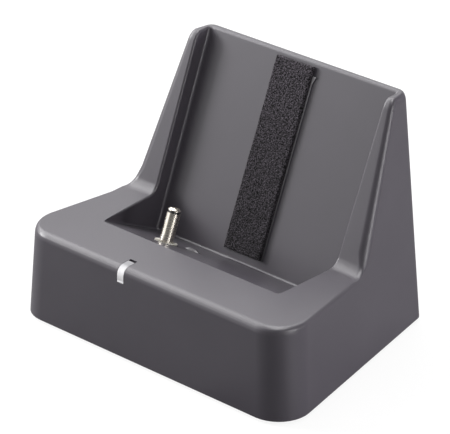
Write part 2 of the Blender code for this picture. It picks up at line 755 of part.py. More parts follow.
def build_light_pipe(root):
    shoulder = BASE_HEIGHT - WALL - SEAT
    outline = [(PIPE_BACK_Y, BASE_HEIGHT)]
    for z in rounding_levels(BASE_HEIGHT, FRONT_EDGE_RADIUS)[::-1]:
        outline.append((front_at(z) + rounded_in(z, BASE_HEIGHT, FRONT_EDGE_RADIUS, FRONT_EDGE_RADIUS), z))
    outline += [(front_at(PIPE_LOW_Z), PIPE_LOW_Z), (STEM_FRONT_Y, PIPE_LOW_Z), (STEM_FRONT_Y, STEM_LOW_Z)]
    outline += [(STEM_BACK_Y, STEM_LOW_Z), (STEM_BACK_Y, shoulder), (PIPE_BACK_Y, shoulder)]
    clear = material("pipe_plastic", (0.80, 0.80, 0.82), 0.25)
    form = prism(outline, (PIPE_X - PIPE_WIDTH / 2, PIPE_X + PIPE_WIDTH / 2))
    add_object("light_pipe", form, root, clear)


def build_plug(root):
    frame = plug_frame()
    nickel = material("plug_nickel", (0.70, 0.68, 0.64), 0.2, 1.0)
    black = material("plug_insulation", (0.015, 0.015, 0.015), 0.5)
    add_object("plug_sleeve", tube(SLEEVE_DIAMETER, SLEEVE_BORE, PLUG_ROOT, SLEEVE_TOP, frame), root, nickel)
    ring, stem, bore = INSULATOR_RING_DIAMETER / 2, INSULATOR_DIAMETER / 2, INSULATOR_BORE / 2
    ring_low = SLEEVE_TOP + SLIM_FIT
    profile = [(ring, INSULATOR_TOP), (ring, ring_low), (stem, ring_low), (stem, PLUG_ROOT)]
    profile += [(bore, PLUG_ROOT), (bore, INSULATOR_TOP)]
    add_object("plug_insulator", revolved(profile, frame, hollow=True), root, black)
    tip, stem, bore = TIP_DIAMETER / 2, CONTACT_DIAMETER / 2, CONTACT_BORE / 2
    tip_low = INSULATOR_TOP + SLIM_FIT
    profile = [(tip - TIP_CHAMFER, TIP_TOP), (tip, TIP_TOP - TIP_CHAMFER), (tip, tip_low), (stem, tip_low)]
    profile += [(stem, PLUG_ROOT), (bore, PLUG_ROOT), (bore, TIP_TOP)]
    add_object("plug_tip", revolved(profile, frame, hollow=True), root, nickel)
    collar, flange, bore = COLLAR_DIAMETER / 2, FLANGE_DIAMETER / 2, COLLAR_BORE / 2
    profile = [(collar, COLLAR_TOP), (collar, FLANGE_TOP), (flange, FLANGE_TOP), (flange, FLANGE_LOW)]
    profile += [(bore, FLANGE_LOW), (bore, COLLAR_TOP)]
    add_object("plug_collar", revolved(profile, frame, hollow=True), root, nickel)


def build_carrier(root):
    frame = plug_frame()
    half_width, half_depth = CARRIER_WIDTH / 2, CARRIER_DEPTH / 2
    form = box((-half_width, half_width), (-half_depth, half_depth), (CARRIER_LOW, CARRIER_TOP), frame)
    block = add_object("carrier_form", form, root)
    low, high = CARRIER_LOW - OVERSHOOT, CARRIER_TOP + OVERSHOOT
    cutters = [rod(CARRIER_BORE, low, high, frame)]
    for sign in (1, -1):
        place = plug_frame(PLUG_X + sign * CARRIER_BOSS_X)
        cutters.append(rod(CARRIER_SCREW[2] + 2 * FIT, low, high, place))
    combine(block, add_object("carrier_cutters", joined(cutters), root), "DIFFERENCE")
    nylon = material("carrier_nylon", (0.60, 0.58, 0.52), 0.5)
    add_object("plug_carrier", evaluated_form(block), root, nylon)


def build_strip(root):
    low_z = pocket_crease()[1] + STRIP_RISE
    length = (BACK_HEIGHT - STRIP_TOP_GAP - low_z) / cos(LEAN)
    frame = leaning(STRIP_X, recline_at(BACKREST_FOOT_Y, low_z), low_z)
    film_width = STRIP_WIDTH + 2 * ADHESIVE_MARGIN
    film_front = SLIM_FIT + ADHESIVE_THICKNESS
    foam_back = film_front + SLIM_FIT
    layers = {
        "strip_adhesive": (film_width, length - ADHESIVE_TOP_GAP, SLIM_FIT, film_front),
        "cushion_strip": (STRIP_WIDTH, length, foam_back, foam_back + STRIP_THICKNESS),
    }
    finishes = {
        "strip_adhesive": material("adhesive_film", (0.30, 0.29, 0.30), 0.6),
        "cushion_strip": material("strip_foam", (0.022, 0.021, 0.023), 0.95),
    }
    for name, (width, height, back, front) in layers.items():
        form = box((-width / 2, width / 2), (-front, -back), (0.0, height), frame)
        add_object(name, form, root, finishes[name])


# Electronics


def build_board(root):
    low, high = BOARD_LOW_Z, BOARD_TOP_Z
    form = box(BOARD_X, (BOARD_FRONT_Y, DEPTH - BOARD_BACK_GAP), (low, high))
    plate = add_object("board_form", form, root)
    holes = [rod(BOARD_SCREW[2] + 2 * FIT, 0.0, 2 * high, at(*place)) for place in board_screw_places()]
    combine(plate, add_object("board_cutters", joined(holes), root), "DIFFERENCE")
    laminate = material("board_laminate", (0.010, 0.070, 0.030), 0.45)
    add_object("circuit_board", evaluated_form(plate), root, laminate)
    on_board = high + SLIM_FIT
    lens = material("led_lens", (0.75, 0.75, 0.70), 0.3)
    black = material("chip_epoxy", (0.012, 0.012, 0.013), 0.5)
    ferrite = material("inductor_ferrite", (0.060, 0.058, 0.055), 0.7)
    foil = material("capacitor_sleeve", (0.030, 0.032, 0.045), 0.4)
    white = material("header_nylon", (0.70, 0.68, 0.62), 0.5)
    led_place = (PIPE_X, (STEM_FRONT_Y + STEM_BACK_Y) / 2)
    add_object("status_led", placed_box(LED_SIZE, led_place, on_board), root, lens)
    add_object("charge_controller", placed_box(CONTROLLER_SIZE, CONTROLLER_PLACE, on_board), root, black)
    add_object("power_inductor", placed_box(INDUCTOR_SIZE, INDUCTOR_PLACE, on_board), root, ferrite)
    can = rod(CAPACITOR_DIAMETER, on_board, on_board + CAPACITOR_HEIGHT, at(*CAPACITOR_PLACE))
    add_object("bulk_capacitor", can, root, foil)
    add_object("lead_header", placed_box(HEADER_SIZE, HEADER_PLACE, on_board), root, white)


def build_leads(root):
    """Two leads from the header up to the plug's inner ends."""
    header_z = BOARD_TOP_Z + HEADER_SIZE[2] / 2
    header_y = HEADER_PLACE[1] - HEADER_SIZE[1] / 2 - SEAT
    top = plug_frame() @ Vector((0.0, 0.0, PLUG_ROOT - SEAT))
    bend = plug_frame() @ Vector((0.0, 0.0, PLUG_ROOT - LEAD_DROP))
    path = [(top.y, top.z), (bend.y, bend.z), (bend.y + LEAD_BEND, header_z), (header_y, header_z)]
    colours = {"lead_positive": (0.35, 0.02, 0.02), "lead_negative": (0.015, 0.015, 0.015)}
    for k, (name, colour) in enumerate(colours.items()):
        form = swept(path, LEAD_DIAMETER, PLUG_X + k * LEAD_SPACING)
        add_object(name, form, root, material(f"{name}_sheath", colour, 0.5))


def build_inlet(root):
    z = inlet_z()
    frame = facing_back(0.0, z)
    half_width, half_height = INLET_WIDTH / 2, INLET_HEIGHT / 2
    form = box((-half_width, half_width), (INLET_FRONT_Y, INLET_BACK_Y), (z - half_height, z + half_height))
    body = add_object("inlet_form", form, root)
    nose_back = back_at(z) - NOSE_RECESS
    nose = rod(NOSE_DIAMETER, INLET_BACK_Y - OVERLAP, nose_back, frame)
    combine(body, add_object("inlet_nose", nose, root), "UNION")
    bore = rod(INLET_BORE, INLET_BORE_FRONT_Y, DEPTH + OVERSHOOT, frame)
    combine(body, add_object("inlet_bore", bore, root), "DIFFERENCE")
    black = material("inlet_plastic", (0.014, 0.014, 0.014), 0.5)
    add_object("power_inlet", evaluated_form(body), root, black)
    nickel = material("inlet_nickel", (0.68, 0.66, 0.62), 0.25, 1.0)
    pin = rod(PIN_DIAMETER, INLET_BORE_FRONT_Y + SEAT, INLET_BACK_Y + PIN_REACH, frame)
    add_object("inlet_pin", pin, root, nickel)
    width, length, thickness = SPRING_SIZE
    top = z + sqrt((INLET_BORE / 2) ** 2 - (width / 2) ** 2) - SLIM_FIT
    front = INLET_BORE_FRONT_Y + SEAT
    spring = box((-width / 2, width / 2), (front, front + length), (top - thickness, top))
    add_object("inlet_spring", spring, root, nickel)


def clear_scene():
    for old in list(bpy.data.objects):
        bpy.data.objects.remove(old, do_unlink=True)


def main():
    clear_scene()
    root = bpy.data.objects.new("cradle_root", None)
    bpy.context.scene.collection.objects.link(root)
    root.location = (0.0, -DEPTH / 2, FOOT_STANDOFF)
    build_housing(root)
    build_cover(root)
    build_feet(root)
    build_screws(root)
    build_light_pipe(root)
    build_plug(root)
    build_carrier(root)
    build_strip(root)
    build_board(root)
    build_leads(root)
    build_inlet(root)
    bpy.context.view_layer.update()


main()
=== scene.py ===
import json
from itertools import product
from math import cos, pi, radians, sin, sqrt

import bmesh
import bpy
from mathutils import Matrix, Vector, noise


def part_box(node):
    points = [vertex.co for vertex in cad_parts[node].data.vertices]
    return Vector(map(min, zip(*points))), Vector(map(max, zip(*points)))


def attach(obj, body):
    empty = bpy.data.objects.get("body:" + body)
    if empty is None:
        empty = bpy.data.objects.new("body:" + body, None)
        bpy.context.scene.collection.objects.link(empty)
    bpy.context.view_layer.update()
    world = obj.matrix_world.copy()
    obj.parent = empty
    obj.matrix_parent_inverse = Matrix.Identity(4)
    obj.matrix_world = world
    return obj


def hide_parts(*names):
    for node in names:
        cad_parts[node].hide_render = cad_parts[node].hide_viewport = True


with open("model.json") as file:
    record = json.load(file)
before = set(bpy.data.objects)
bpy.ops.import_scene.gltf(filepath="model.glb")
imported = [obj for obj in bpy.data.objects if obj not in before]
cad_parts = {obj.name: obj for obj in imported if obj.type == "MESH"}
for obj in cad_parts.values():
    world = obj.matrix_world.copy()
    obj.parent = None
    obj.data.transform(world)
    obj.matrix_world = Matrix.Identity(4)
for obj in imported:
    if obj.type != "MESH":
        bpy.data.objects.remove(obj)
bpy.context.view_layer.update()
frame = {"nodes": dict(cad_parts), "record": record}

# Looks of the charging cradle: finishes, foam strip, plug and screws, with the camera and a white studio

nodes = frame["nodes"]

BODY = "root"

# Picture
IMAGE_WIDTH = 450
IMAGE_HEIGHT = 434
FOCAL_PIXELS = 2857.03
CENTRE_PIXEL = (231.336, 205.465)
SENSOR = 36.0
CAMERA_AZIMUTH = radians(41.3908)
CAMERA_ELEVATION = radians(26.8445)
CAMERA_DISTANCE = 0.768698
CAMERA_TARGET = Vector((0.0, -0.00085, 0.0360))

# Smooth shading
WELD = 1e-6
SHARP_ANGLE = radians(24)
NORMAL_WEIGHT = 100  # large faces count most where they run out into rounded edges

# Grain of the moulded pieces
NOISE_BAND = (0.30, 0.70)  # between which most of a noise's values lie
CLOUD_SCALE = 60.0
GRAIN_SCALE = 5200.0
GRAIN_RELIEF = 0.00002
GRAIN_STRENGTH = 0.35
GRAIN_MOTTLE = 0.10  # how much the clouds darken and lighten the colour
GRAIN_SMOOTHER = 0.05  # how far the roughness falls and rises with the grain
GRAIN_ROUGHER = 0.06
PLAIN_FINISHES = {  # slot, with base colour, roughness and depth of the grain
    "carrier_nylon": ((0.60, 0.58, 0.52), 0.5, GRAIN_RELIEF),
    "led_lens": ((0.75, 0.75, 0.70), 0.28, GRAIN_RELIEF),
    "chip_epoxy": ((0.012, 0.012, 0.013), 0.5, 0.00003),
    "inductor_ferrite": ((0.060, 0.058, 0.055), 0.7, 0.00006),
    "capacitor_sleeve": ((0.030, 0.032, 0.045), 0.38, GRAIN_RELIEF),
    "header_nylon": ((0.70, 0.68, 0.62), 0.5, GRAIN_RELIEF),
    "lead_positive_sheath": ((0.35, 0.02, 0.02), 0.45, GRAIN_RELIEF),
    "lead_negative_sheath": ((0.016, 0.016, 0.016), 0.45, GRAIN_RELIEF),
    "inlet_plastic": ((0.015, 0.015, 0.015), 0.48, 0.00003),
}

# Foam strip
FOAM_STEP = 0.00025
FOAM_EDGE = 0.00055
FOAM_PORE = 0.00062
FOAM_PORE_DEPTH = 0.00026
FOAM_PORE_NARROWING = 2.2  # how steeply a pore's depth falls from its middle
FOAM_WAVE = 0.00010
FOAM_WAVE_SCALE = 0.16  # of the pores' own scale
FOAM_FRAY = 0.00012
FOAM_FRAY_SCALE = 2600.0
FOAM_INNER_FRAY = 0.3  # share of the fray away from the edges
FOAM_FRAY_SEED = 7  # makes the fray the same in each run
FOAM_SHIFT = Vector((3.7, 1.9, 8.2))  # picks a stretch of the pore pattern

# Film under the foam
CURL_LENGTH = 0.0034
CURL_REACH = 0.0010
CURL_LIFT = 0.0003
FILM_ROWS = 60

# Light pipe
GROOVE_RISE = 0.00050  # above the pipe's lower end
GROOVE_WIDTH = 0.00026
GROOVE_DEPTH = 0.00012
GROOVE_REACH = 0.00036  # how far back from the pipe's face it is cut
PIPE_PALE_DEPTH = 0.0002  # how far back from its face the pipe is palest
PIPE_GREY_DEPTH = 0.0025  # and from where the painted shade greys it most

# Rib on the pocket's floor
RIB_SECTION = (  # back from its middle and up from the floor
    (-0.00092, -0.00010),
    (-0.00047, 0.00060),
    (-0.00040, 0.00063),
    (0.00034, 0.00058),
    (0.00050, 0.00050),
    (0.00080, -0.00010),
)
RIB_LOW = 0.00015  # the housing's own rib has its top between these heights
RIB_HIGH = 0.0006
RIB_REACH = 0.02  # how far from the middle it can stand
RIB_OVERHANG = 0.0014  # past each end of the housing's own rib
RIB_SHAPE = (  # share of its length, and how deep and how high it is there
    (0.0, 0.80, 0.02),
    (0.24, 1.0, 0.90),
    (0.32, 1.0, 1.0),
    (0.68, 1.0, 1.0),
    (0.76, 1.0, 0.90),
    (1.0, 0.80, 0.02),
)

# Ring round the plug
COLLAR_TEETH = 26
COLLAR_TOOTH_STEPS = 8
COLLAR_TOOTH_DEPTH = 0.00026
COLLAR_RINGS = 4  # of points across its toothed face
RADIUS_DIGITS = 5  # tell its radii apart to a hundredth of a millimetre

# Screws
SCREW_HEAD_HEIGHT = 0.0010
SCREW_EDGE = 0.00028
SCREW_EDGE_STEPS = 5
RECESS_WIDTH = 0.00072
RECESS_LENGTH = 0.0027
RECESS_DEPTH = 0.00055
RECESS_TAPER = 0.55
RECESS_TURN = pi / 5
THREAD_PITCH = 0.0008
THREAD_DEPTH = 0.00022
THREAD_STEPS = 24  # round the shank
THREAD_ROWS = 6  # in each pitch
THREAD_FLANK = 0.32  # share of the pitch from crest to root
THREAD_RUN_IN = 3.0  # how steeply the thread rises next to the head
THREAD_RUN_OUT = 6.0  # and falls at the shank's end

# Studio
LAMPS = (  # name, azimuth and elevation in degrees, distance, width, height and watts
    ("left_box", -85.0, 40.0, 0.90, 0.60, 0.50, 7.2),
    ("left_low_box", -65.0, 22.0, 0.90, 0.28, 0.24, 5.8),
    ("front_box", -40.0, 16.0, 0.90, 0.40, 0.30, 0.35),
    ("right_back_box", 128.0, 12.0, 0.85, 0.40, 0.28, 6.5),
    ("right_strip", 87.0, 6.0, 0.85, 0.20, 0.26, 1.6),
    ("back_box", 225.0, 42.0, 0.90, 0.50, 0.40, 1.2),
    ("back_high_box", 200.0, 58.0, 0.80, 0.70, 0.50, 2.0),
    ("top_gleam", 41.0, 78.0, 0.80, 0.30, 0.30, 4.5),
    ("crown_gleam", -125.0, 74.0, 0.80, 0.30, 0.30, 2.5),
    ("right_gleam", 77.0, 16.0, 0.85, 0.26, 0.20, 1.8),
)
LAMPS_IN_GLOSS_ONLY = ("top_gleam", "crown_gleam", "right_gleam")
LAMPS_NOT_IN_GLOSS = ("right_back_box",)
NEAR_SIDE_LEVEL = 0.54  # soft light from the camera's side of the room
NEAR_SIDE_FADE = 0.12
ROOM_GLOSS = (  # azimuth in degrees, and how bright the room is there in gloss
    (-26.0, 1.0),
    (-14.0, 0.16),
    (64.0, 0.16),
    (76.0, 0.06),
    (159.0, 0.06),
    (171.0, 1.0),
)
FLOOR_HALF = 3.0
FLOOR_DROP = 0.00002  # keeps the floor clear of the feet
FLOOR_ROUGHNESS = 0.9
FLOOR_LEVEL = 0.22
FLOOR_SEEN_LEVEL = 0.11  # for the camera, which keeps the shadow light
FLOOR_GLOW = 0.88  # brings the floor to white for the camera
FLOOR_GLOSS_GLOW = 0.05
FLOOR_GLOSS = (  # azimuth in degrees, and how pale the floor is there in gloss
    (20.0, FLOOR_LEVEL),
    (32.0, 0.0),
    (56.0, 0.0),
    (68.0, FLOOR_LEVEL),
    (94.0, FLOOR_LEVEL),
    (106.0, 0.33),
    (125.0, 0.33),
    (140.0, FLOOR_LEVEL),
)

# Nodes
MIX_FIRST = 6  # places of a Mix node's colours
MIX_LAST = 7
MIX_COLOUR = 2
FULL_TURN = 360.0
FRONT_STOP = 0.5  # the front's place on a ramp that runs from back to back


# Measures


def corners(node):
    return [v.co for v in nodes[node].data.vertices]


def span(node, axis):
    """Lowest and highest value of a node's points along an axis."""
    values = [p.dot(axis) for p in corners(node)]
    return min(values), max(values)


def mount(name):
    return next(m for m in frame["record"]["mounts"] if m["name"] == name)


def direction(azimuth, elevation):
    """From the object, with azimuth 0 at the front and 90 degrees at the right."""
    flat = cos(elevation)
    return Vector((sin(azimuth) * flat, -cos(azimuth) * flat, sin(elevation)))


ACROSS = Vector((1.0, 0.0, 0.0))
OUT = Vector(mount("pack_back")["axis"]).normalized()  # out of the backrest
UP = OUT.cross(ACROSS)  # up along the backrest and along the plug


# Colours


def grey(level):
    return (level, level, level)


def shade(base, factor):
    return tuple(c * factor for c in base)


# Shader nodes


class Tree:
    """A node tree with short ways to add and combine nodes."""

    def __init__(self, tree):
        self.tree = tree

    def add(self, kind, **settings):
        made = self.tree.nodes.new(kind)
        for key, value in settings.items():
            setattr(made, key, value)
        return made

    def feed(self, socket, value):
        """Links a node's output to a socket, or sets a number, a vector or a colour there."""
        if isinstance(value, bpy.types.NodeSocket):
            self.tree.links.new(value, socket)
        elif socket.type == "RGBA":
            socket.default_value = (*value, 1.0)
        else:
            socket.default_value = value

    def math(self, operation, first, second):
        made = self.add("ShaderNodeMath", operation=operation)
        self.feed(made.inputs[0], first)
        self.feed(made.inputs[1], second)
        return made.outputs["Value"]

    def mix(self, factor, first, last):
        """A number between two others."""
        made = self.add("ShaderNodeMix")
        self.feed(made.inputs["Factor"], factor)
        self.feed(made.inputs["A"], first)
        self.feed(made.inputs["B"], last)
        return made.outputs["Result"]

    def blend(self, factor, first, last, mode="MIX"):
        """A colour between two others, or their product."""
        made = self.add("ShaderNodeMix", data_type="RGBA", blend_type=mode)
        self.feed(made.inputs["Factor"], factor)
        self.feed(made.inputs[MIX_FIRST], first)
        self.feed(made.inputs[MIX_LAST], last)
        return made.outputs[MIX_COLOUR]

    def ramp(self, value, low, high, first, last):
        """Colours or numbers from first to last while value runs from low to high."""
        made = self.add("ShaderNodeMapRange", clamp=True)
        self.feed(made.inputs["Value"], value)
        self.feed(made.inputs["From Min"], low)
        self.feed(made.inputs["From Max"], high)
        if isinstance(first, tuple):
            return self.blend(made.outputs["Result"], first, last)
        self.feed(made.inputs["To Min"], first)
        self.feed(made.inputs["To Max"], last)
        return made.outputs["Result"]

    def by_azimuth(self, place, levels):
        """Brightness by azimuth. The first and last levels are alike and hold all round the back."""
        parts = self.add("ShaderNodeSeparateXYZ")
        self.feed(parts.inputs[0], place)
        front = self.math("MULTIPLY", parts.outputs["Y"], -1.0)
        turn = self.math("ARCTAN2", parts.outputs["X"], front)
        made = self.add("ShaderNodeValToRGB")
        self.feed(made.inputs["Fac"], self.ramp(turn, low=-pi, high=pi, first=0.0, last=1.0))
        stops = made.color_ramp.elements
        back = levels[0][1]
        for end in stops:
            end.color = (*grey(back), 1.0)
        for azimuth, level in levels:
            stop = stops.new(azimuth / FULL_TURN + FRONT_STOP)
            stop.color = (*grey(level), 1.0)
        return made.outputs["Color"]

    def rays(self):
        """Whether a ray comes from the camera, and whether from gloss or through glass."""
        path = self.add("ShaderNodeLightPath").outputs
        gloss = self.math("MAXIMUM", path["Is Glossy Ray"], path["Is Transmission Ray"])
        return path["Is Camera Ray"], gloss


class Shader(Tree):
    """A material with a Principled shader and short ways to give it a finish."""

    def __init__(self, name):
        self.material = bpy.data.materials.new(f"{name}_finish")
        self.material.use_nodes = True
        super().__init__(self.material.node_tree)
        self.bsdf = self.tree.nodes["Principled BSDF"]
        self.place = self.add("ShaderNodeTexCoord").outputs["Object"]

    def set(self, **values):
        """Feeds shader sockets, named in lower case with underscores."""
        for key, value in values.items():
            self.feed(self.bsdf.inputs[key.replace("_", " ").title().replace("Ior", "IOR")], value)

    def noise(self, scale, detail=3.0, rough=0.55, stretch=None):
        place = self.place
        if stretch:
            mapping = self.add("ShaderNodeMapping")
            self.feed(mapping.inputs["Vector"], place)
            self.feed(mapping.inputs["Scale"], stretch)
            place = mapping.outputs["Vector"]
        made = self.add("ShaderNodeTexNoise")
        self.feed(made.inputs["Vector"], place)
        self.feed(made.inputs["Scale"], scale)
        self.feed(made.inputs["Detail"], detail)
        self.feed(made.inputs["Roughness"], rough)
        return made.outputs["Fac"]

    def cells(self, scale):
        made = self.add("ShaderNodeTexVoronoi", feature="F1")
        self.feed(made.inputs["Vector"], self.place)
        self.feed(made.inputs["Scale"], scale)
        return made.outputs["Distance"]

    def along(self, axis):
        """Place along the part's X, Y or Z, in metres."""
        made = self.add("ShaderNodeSeparateXYZ")
        self.feed(made.inputs[0], self.place)
        return made.outputs[axis]

    def colour(self, value, low, high, first, last):
        self.set(base_color=self.ramp(value, low, high, first, last))

    def tint(self, value, low, high, first, last):
        """Multiplies the base colour by colours from first to last."""
        before = self.bsdf.inputs["Base Color"].links[0].from_socket
        self.set(base_color=self.blend(1.0, before, self.ramp(value, low, high, first, last), "MULTIPLY"))

    def roughness(self, value, low, high, first, last):
        self.set(roughness=self.ramp(value, low, high, first, last))

    def bump(self, height, strength, depth):
        """Adds relief of a depth in metres. A second call lies on the first."""
        made = self.add("ShaderNodeBump")
        self.feed(made.inputs["Height"], height)
        self.feed(made.inputs["Strength"], strength)
        self.feed(made.inputs["Distance"], depth)
        normal = self.bsdf.inputs["Normal"]
        if normal.is_linked:
            self.feed(made.inputs["Normal"], normal.links[0].from_socket)
        self.set(normal=made.outputs["Normal"])


# Finishes


def moulded(name, base, rough, relief=GRAIN_RELIEF, grain=GRAIN_SCALE, mottle=GRAIN_MOTTLE):
    """Moulded plastic, or another evenly grained stuff: fine spark-eroded grain and faint clouding."""
    made = Shader(name)
    clouds = made.noise(CLOUD_SCALE, detail=4.0)
    fine = made.noise(grain, detail=2.0, rough=0.6)
    made.colour(clouds, *NOISE_BAND, shade(base, 1.0 - mottle), shade(base, 1.0 + mottle))
    made.roughness(fine, *NOISE_BAND, rough - GRAIN_SMOOTHER, rough + GRAIN_ROUGHER)
    made.bump(fine, GRAIN_STRENGTH, relief)
    return made


def shell_plastic():
    """Satin grey plastic with a fine eroded grain on a slightly uneven surface."""
    base = (0.0590, 0.0530, 0.0650)
    made = moulded("shell_plastic", base, rough=0.38, relief=0.000012, grain=7000.0, mottle=0.045)
    made.bump(made.noise(scale=900.0), strength=0.05, depth=0.00003)
    made.set(specular_ior_level=0.55)
    return made.material


def cover_plastic():
    base = (0.020, 0.020, 0.021)
    return moulded("cover_plastic", base, rough=0.60, relief=0.00005, grain=3200.0).material


def foot_rubber():
    base = (0.014, 0.014, 0.014)
    made = moulded("foot_rubber", base, rough=0.82, relief=0.00006, grain=2600.0, mottle=0.2)
    made.set(sheen_weight=0.15, sheen_roughness=0.5)
    return made.material


def pipe_plastic():
    """Milky plastic that guides light, pale at its front face, with painted shade that greys it further
    back along the top.
    """
    base = (0.84, 0.83, 0.85)
    made = moulded("pipe_plastic", base, rough=0.42, relief=0.00001, grain=2500.0, mottle=0.05)
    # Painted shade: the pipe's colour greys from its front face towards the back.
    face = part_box("light_pipe")[0].y
    pale, darkest = face + PIPE_PALE_DEPTH, face + PIPE_GREY_DEPTH
    made.tint(made.along("Y"), pale, darkest, grey(1.0), (0.33, 0.33, 0.34))
    made.set(subsurface_weight=0.15, subsurface_radius=(0.001, 0.001, 0.001), specular_ior_level=0.3)
    return made.material


def nickel(name, base, rough):
    """Turned and plated metal: fine rings round the axis and small stains."""
    made = Shader(name)
    stains = made.noise(scale=420.0, detail=5.0, rough=0.65)
    turning = made.noise(scale=900.0, detail=2.0, rough=0.5, stretch=(0.6, 1.0, 9.0))
    made.colour(stains, low=0.35, high=0.72, first=shade(base, 0.90), last=base)
    made.roughness(turning, low=0.25, high=0.75, first=rough - 0.03, last=rough + 0.05)
    made.bump(turning, strength=0.005, depth=0.00001)
    made.set(metallic=1.0)
    return made.material


def plug_insulation():
    return moulded("plug_insulation", (0.016, 0.016, 0.016), rough=0.5, grain=4000.0).material


def adhesive_film():
    """Pale film that is greyer lower down, where shade is painted into its colour."""
    made = moulded("adhesive_film", (0.36, 0.35, 0.37), rough=0.50, relief=0.00003, grain=1500.0)
    # Painted shade: the film's colour is darker towards the bottom, where the pocket shades it.
    low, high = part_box("strip_adhesive")
    made.tint(made.along("Z"), low.z, high.z, grey(0.25), grey(1.0))
    return made.material


def strip_foam():
    """Open-pored foam: dark cells between paler, fuzzy walls, with painted shade that darkens it lower
    down.
    """
    made = Shader("strip_foam")
    pores = made.cells(scale=1900.0)
    fuzz = made.noise(scale=2800.0, detail=1.0, rough=0.5)
    made.colour(fuzz, low=0.38, high=0.70, first=grey(0.0), last=(0.086, 0.075, 0.090))
    # Painted shade: the foam's colour is darker towards the bottom, where the pocket shades it, and
    # lighter at the top.
    low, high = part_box("cushion_strip")
    made.tint(made.along("Z"), low.z, high.z, grey(0.58), grey(1.14))
    made.roughness(pores, low=0.0, high=0.6, first=0.98, last=0.82)
    made.bump(pores, strength=0.9, depth=0.00022)
    made.bump(fuzz, strength=0.8, depth=0.00012)
    made.set(sheen_weight=0.03, sheen_roughness=0.6, specular_ior_level=0.12)
    return made.material


def board_laminate():
    """Green solder mask over faint copper tracks."""
    made = Shader("board_laminate")
    bricks = made.add("ShaderNodeTexBrick", offset=0.5)
    made.feed(bricks.inputs["Vector"], made.place)
    made.feed(bricks.inputs["Scale"], 120.0)
    made.feed(bricks.inputs["Mortar Size"], 0.06)
    tracks = bricks.outputs["Fac"]
    made.colour(tracks, low=0.0, high=1.0, first=(0.010, 0.072, 0.030), last=(0.022, 0.120, 0.050))
    made.roughness(made.noise(scale=800.0), *NOISE_BAND, first=0.32, last=0.46)
    made.bump(tracks, strength=0.4, depth=0.00003)
    return made.material


def make_finishes():
    """All finishes, by slot, with one more for the ring round the plug."""
    made = {slot: moulded(slot, *look).material for slot, look in PLAIN_FINISHES.items()}
    made["shell_plastic"] = shell_plastic()
    made["cover_plastic"] = cover_plastic()
    made["foot_rubber"] = foot_rubber()
    made["pipe_plastic"] = pipe_plastic()
    made["plug_nickel"] = nickel("plug_nickel", (0.75, 0.70, 0.62), rough=0.26)
    made["collar_nickel"] = nickel("collar_nickel", (0.31, 0.30, 0.28), rough=0.70)
    made["inlet_nickel"] = nickel("inlet_nickel", (0.68, 0.66, 0.62), rough=0.25)
    made["screw_steel"] = nickel("screw_steel", (0.52, 0.52, 0.50), rough=0.34)
    made["plug_insulation"] = plug_insulation()
    made["adhesive_film"] = adhesive_film()
    made["strip_foam"] = strip_foam()
    made["board_laminate"] = board_laminate()
    return made


# Smooth shading of the carried-over pieces


def smoothing_group():
    """Welds a faceted mesh and shades it smooth, apart from the edges that are really sharp."""
    group = bpy.data.node_groups.new("smooth_by_angle", "GeometryNodeTree")
    for way in ("INPUT", "OUTPUT"):
        group.interface.new_socket("Geometry", in_out=way, socket_type="NodeSocketGeometry")
    tree = Tree(group)
    start = tree.add("NodeGroupInput")
    end = tree.add("NodeGroupOutput")
    weld = tree.add("GeometryNodeMergeByDistance")
    tree.feed(weld.inputs["Geometry"], start.outputs[0])
    tree.feed(weld.inputs["Distance"], WELD)
    angle = tree.add("GeometryNodeInputMeshEdgeAngle")
    sharp = tree.add("FunctionNodeCompare", operation="GREATER_THAN")
    tree.feed(sharp.inputs["A"], angle.outputs["Unsigned Angle"])
    tree.feed(sharp.inputs["B"], SHARP_ANGLE)
    normals = tree.add("GeometryNodeSetMeshNormal", mode="SHARPNESS")
    tree.feed(normals.inputs["Mesh"], weld.outputs["Geometry"])
    tree.feed(normals.inputs["Remove Custom"], True)
    tree.feed(normals.inputs["Edge Sharpness"], sharp.outputs["Result"])
    tree.feed(end.inputs[0], normals.outputs["Mesh"])
    return group


def smooth(piece, group):
    modifier = piece.modifiers.new("smooth", "NODES")
    modifier.node_group = group
    weights = piece.modifiers.new("weights", "WEIGHTED_NORMAL")
    weights.keep_sharp = True
    weights.weight = NORMAL_WEIGHT


# Pieces


def add_piece(name, form, finish, replaced=None):
    """Makes a piece of a form, with its finish, in place of a node or beside them."""
    mesh = bpy.data.meshes.new(name)
    bmesh.ops.recalc_face_normals(form, faces=form.faces)
    form.to_mesh(mesh)
    form.free()
    mesh.materials.append(finish)
    mesh.shade_smooth()
    mesh.set_sharp_from_angle(angle=SHARP_ANGLE)
    piece = bpy.data.objects.new(name, mesh)
    bpy.context.scene.collection.objects.link(piece)
    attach(piece, BODY)
    if replaced:
        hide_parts(replaced)
    return piece


def rings_to_form(rings, closed):
    """Tube through rings of points, closed into a loop or capped at both ends."""
    form = bmesh.new()
    loops = [[form.verts.new(p) for p in ring] for ring in rings]
    pairs = list(zip(loops, loops[1:]))
    if closed:
        pairs.append((loops[-1], loops[0]))
    else:
        form.faces.new(loops[0])
        form.faces.new(loops[-1])
    for lower, higher in pairs:
        for k in range(len(lower)):
            n = (k + 1) % len(lower)
            form.faces.new((lower[k], lower[n], higher[n], higher[k]))
    return form


def foam_height(a, b, width, length, thickness):
    """Height of the foam's face at a point from its lower left corner: pores, waves and rounded edges."""
    place = Vector((a, b, 0.0)) / FOAM_PORE + FOAM_SHIFT
    nearest = noise.voronoi(place)[0][0]
    pores = FOAM_PORE_DEPTH * max(0.0, 1.0 - FOAM_PORE_NARROWING * nearest)
    waves = FOAM_WAVE * noise.noise(place * FOAM_WAVE_SCALE)
    margin = max(0.0, min(a, width - a, b, length - b))
    drop = 0.0
    if margin < FOAM_EDGE:
        drop = FOAM_EDGE * (1.0 - sqrt(1.0 - (1.0 - margin / FOAM_EDGE) ** 2))
    return thickness - FOAM_WAVE - pores + waves - drop


